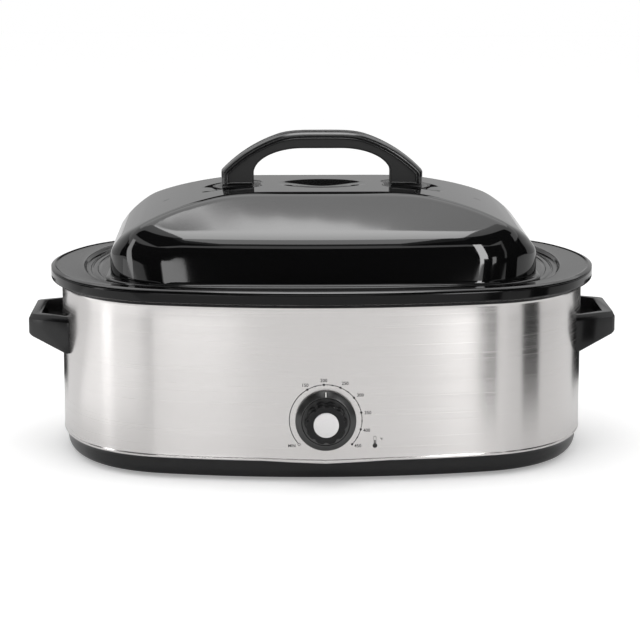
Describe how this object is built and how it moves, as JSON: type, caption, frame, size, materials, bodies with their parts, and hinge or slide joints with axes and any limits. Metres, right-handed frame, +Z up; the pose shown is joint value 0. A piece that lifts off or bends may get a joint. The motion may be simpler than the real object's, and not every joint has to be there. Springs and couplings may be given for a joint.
{
  "type": "electric roaster oven",
  "caption": "Oval countertop roaster oven with a steel band, black rim and base, lift-out pan and wire rack, lift-off domed lid with an arched handle, and a thermostat knob.",
  "frame": {"origin": "on the table, under the middle of the bounding box", "axes": "+X along the length, towards the right-hand side handle; +Y to the back, so the knob faces -Y; +Z up"},
  "size_m": [0.6, 0.3837, 0.3215],
  "materials": {
    "steel_band": "brushed stainless steel, satin, grain along the length",
    "base_enamel": "black baked enamel, semi-gloss",
    "zinc_sheet": "zinc-coated sheet, dull",
    "foot_rubber": "soft matt rubber",
    "screw_steel": "plated screw steel",
    "collar_enamel": "black baked enamel, glossy",
    "liner_steel": "coated sheet steel, dull",
    "heater_mica": "mica and resistance wire, pressed",
    "glass_wool": "glass wool felt",
    "terminal_brass": "plain brass",
    "ceramic_cream": "cream moulded ceramic",
    "bulb_copper": "bare copper",
    "lead_sleeve": "red silicone-glass sleeving",
    "black_plastic": "black phenolic plastic, semi-gloss",
    "handle_plastic": "black phenolic plastic, glossy",
    "pan_enamel": "black porcelain enamel, glossy",
    "rack_chrome": "chrome-plated wire",
    "lid_enamel": "black porcelain enamel, glossy",
    "grip_plastic": "black phenolic plastic, satin with a matt web",
    "knob_plastic": "black plastic, semi-gloss",
    "cap_silver": "matt silver disc",
    "pointer_white": "white paint in a groove"
  },
  "bodies": {
    "body": {"outer_band": "steel_band", "base_tray": "base_enamel", "bottom_plate": "zinc_sheet", "feet": "foot_rubber", "base_screws": "screw_steel", "rim_collar": "collar_enamel", "liner": "liner_steel", "heater_band": "heater_mica", "insulation_wrap": "glass_wool", "heater_terminals": "terminal_brass", "thermostat_body": "ceramic_cream", "thermostat_bracket": "screw_steel", "thermostat_bulb": "bulb_copper", "wiring": "lead_sleeve", "cord_gland": "black_plastic", "side_handle_left": "handle_plastic", "side_handle_right": "handle_plastic", "side_handle_screws": "screw_steel"},
    "pan": {"roasting_pan": "pan_enamel"},
    "rack": {"roasting_rack": "rack_chrome"},
    "lid": {"lid_shell": "lid_enamel", "lid_handle": "grip_plastic", "lid_handle_feet": "grip_plastic", "lid_handle_screws": "screw_steel", "lid_handle_washers": "screw_steel"},
    "knob": {"knob_body": "knob_plastic", "knob_cap": "cap_silver", "knob_pointer": "pointer_white", "knob_shaft": "screw_steel"}
  },
  "joints": [
    {"name": "pan_lift", "type": "slide", "parent": "body", "child": "pan", "axis": [0, 0, 1], "range_m": [0, 0.17]},
    {"name": "rack_lift", "type": "slide", "parent": "pan", "child": "rack", "axis": [0, 0, 1], "range_m": [0, 0.14]},
    {"name": "lid_lift", "type": "slide", "parent": "rack", "child": "lid", "axis": [0, 0, 1], "range_m": [0, 0.15]},
    {"name": "knob_turn", "type": "hinge", "parent": "body", "child": "knob", "pos_m": [0, -0.18, 0.062], "axis": [0, 1, 0], "range_deg": [-130, 136]}
  ]
}
